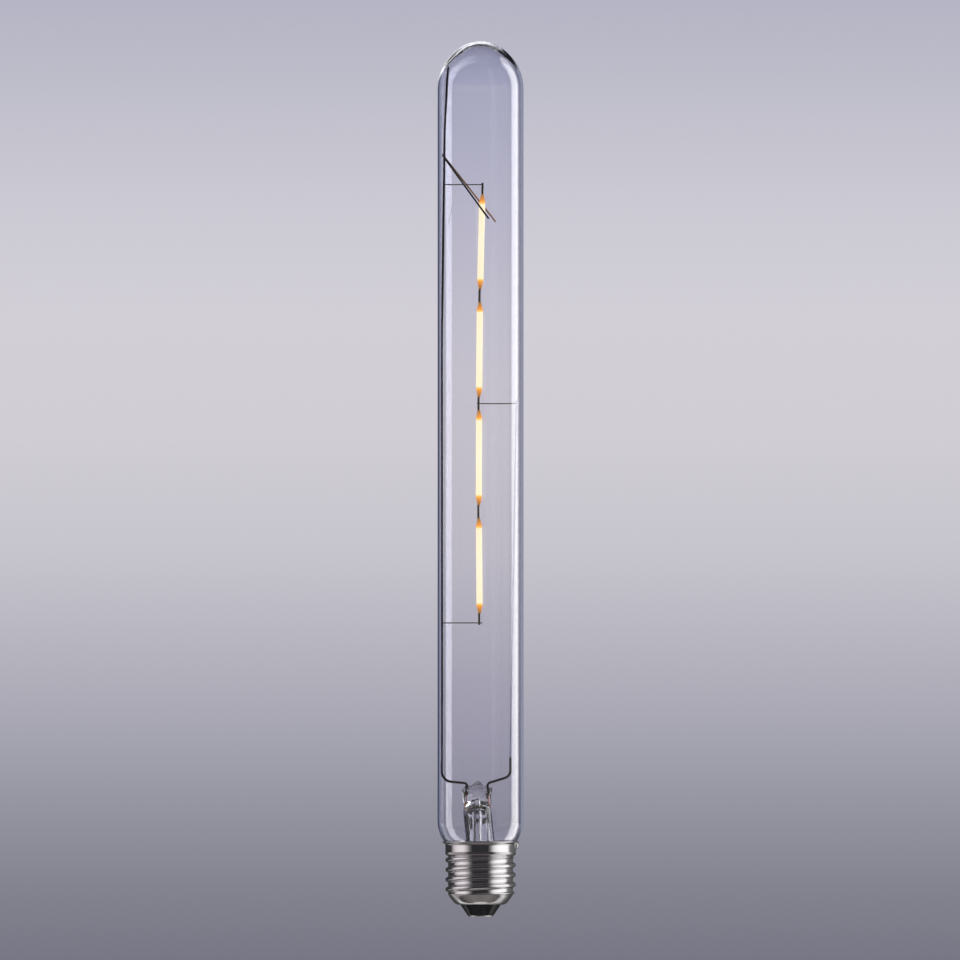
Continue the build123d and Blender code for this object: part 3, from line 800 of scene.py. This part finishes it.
card("left_edge", (-152, -138), (FLOOR, CARD_TOP), (LEFT_EDGE, LEFT_EDGE))
card("left_rim", (-180, -152), (FLOOR, CARD_TOP), (LEFT_RIM, LEFT_RIM))
back_card("crown_light", (4, 31), (-72, 20), tint(PURE, 1.3), edge=0.12)
card("stem_right", (100, 122), (FLOOR, CARD_TOP), (tint(PURE, 7.0),) * 2, 0.1, STEM)
card("stem_left", (-128, -100), (FLOOR, CARD_TOP), (tint(PURE, 4.0),) * 2, 0.1, STEM)

# Dark and white that the stem bends into view, and the glass's light from the floor
BENT_DARK, BENT_WHITE = (0.03, 0.03, 0.035), (1.1, 1.1, 1.12)
BENT_FLOOR, GLASS_FLOOR, CAP_FLOOR = FLOOR + 3, FLOOR + 2, FLOOR + 1
bent_card("bent_dark_left", (-165, -138), (BENT_FLOOR, 400), BENT_DARK)
bent_card("bent_white_left", (-138, -95), (BENT_FLOOR, 500), BENT_WHITE)
bent_card("bent_dark_right", (138, 165), (BENT_FLOOR, 400), BENT_DARK)
bent_card("bent_white_right", (95, 138), (BENT_FLOOR, 500), BENT_WHITE)
bent_card("bent_dark_top", (138, 222), (400, 1400), BENT_DARK)
middle = [(-95, DIM), (-88, LOW), (88, LOW), (92, STRIP), (122, STRIP), (126, DIM)]
near_floor = [(-180, DIM), *middle, (180, DIM)]
far_floor = [(-180, DIM), (-152, LEFT_EDGE), (-138, LEFT_EDGE), *middle, (140, RIGHT_EDGE),
             (178, RIGHT_EDGE), (180, DIM)]
ring_card("neck_light", (
    (15, GLASS_FLOOR, near_floor), (300, GLASS_FLOOR, near_floor),
    (REACH - 2, GLASS_FLOOR, far_floor),
), GLASS)

# Light for the cap: pale on the left, white on the right and dark in the middle
WARM, WHITE, BROWN = (1.0, 0.945, 0.97), (1.0, 0.99, 0.98), (1.0, 0.91, 0.89)


def shades(*stops):
    """Stops of (turn, colour, strength) as turns and lights."""
    return [(turn, tint(colour, strength)) for turn, colour, strength in stops]


around = shades(
    (-180, WARM, 0.02), (-113, WARM, 0.02), (-106, WARM, 0.2), (-98, WARM, 0.52),
    (-88, WARM, 0.76), (-71, WARM, 0.88), (-56, WARM, 0.8), (-45, WARM, 0.45), (-37, WARM, 0.16),
    (-28, WARM, 0.012), (25, WHITE, 0.012), (33, WHITE, 0.2), (42, WHITE, 0.68),
    (52, WHITE, 1.02), (67, WHITE, 1.2), (92, WHITE, 1.2), (102, WHITE, 0.98), (109, WHITE, 0.3),
    (118, WHITE, 0.14), (180, WHITE, 0.05),
)
above = shades(
    (-180, BROWN, 0.02), (-113, BROWN, 0.02), (-100, BROWN, 0.24), (-50, BROWN, 0.24),
    (-32, BROWN, 0.08), (32, BROWN, 0.08), (50, WHITE, 0.7), (100, WHITE, 0.75),
    (112, WHITE, 0.12), (180, WHITE, 0.03),
)
below = shades(
    (-180, WHITE, 0.05), (-140, WHITE, 0.05), (-122, WHITE, 0.4), (-112, BROWN, 0.3),
    (-60, BROWN, 0.3), (-40, BROWN, 0.03), (40, BROWN, 0.03), (58, WHITE, 0.6),
    (80, WHITE, 0.85), (105, WHITE, 0.8), (122, WHITE, 0.2), (140, WHITE, 0.06),
    (180, WHITE, 0.05),
)
near = shades(
    (-180, WHITE, 0.5), (-150, WHITE, 0.28), (-138, WHITE, 0.4), (-128, WHITE, 0.7),
    (-117, WHITE, 0.65), (-108, BROWN, 0.06), (-94, BROWN, 0.05), (-80, BROWN, 0.12),
    (-40, BROWN, 0.18), (0, BROWN, 0.15), (40, BROWN, 0.18), (75, BROWN, 0.12),
    (87, WHITE, 0.12), (94, WHITE, 0.5), (110, WHITE, 0.6), (122, WHITE, 0.3),
    (135, WHITE, 0.18), (160, WHITE, 0.25), (180, WHITE, 0.5),
)
foot = shades((-180, WHITE, 0.6), (180, WHITE, 0.6))
ring_card("cap_walls", (
    (REACH, -600, around), (REACH, 180, around), (REACH, 250, above), (REACH, 1500, above),
), CAP)
ring_card("cap_floor", (
    (2, CAP_FLOOR, foot), (12, CAP_FLOOR, foot), (16, CAP_FLOOR, near), (54, CAP_FLOOR, near),
    (66, CAP_FLOOR, below), (REACH - 2, CAP_FLOOR, below),
), CAP)


# Lamps, in metres and watts
def lamp(name, place, size, power, lit=None):
    """A soft lamp that looks at the bulb, for everything or for a group."""
    made = bpy.data.objects.new(name, bpy.data.lights.new(name, "AREA"))
    scene.collection.objects.link(made)
    made.data.shape = "RECTANGLE"
    made.data.size, made.data.size_y = size
    made.data.energy = power
    made.location = place
    aim = Vector((0, 0, EYE)) - Vector(place)
    made.rotation_euler = aim.to_track_quat("-Z", "Y").to_euler()
    made.visible_camera = made.visible_glossy = made.visible_transmission = False
    if lit:
        made.light_linking.receiver_collection = lit


lamp("left_lamp", (-0.85, -0.45, 0.35), (0.5, 1.0), 3.5, BULB)
lamp("right_lamp", (0.9, -0.3, 0.35), (0.6, 1.0), 5.0, BULB)
lamp("top_lamp", (0.1, -0.2, 1.2), (0.8, 0.8), 4.0)

world = bpy.data.worlds.new("world")
scene.world = world
world.use_nodes = True
sky = world.node_tree.nodes["Background"]
sky.inputs["Color"].default_value = (0.6, 0.6, 0.64, 1)
sky.inputs["Strength"].default_value = 0.3
scene.view_settings.view_transform = "Standard"
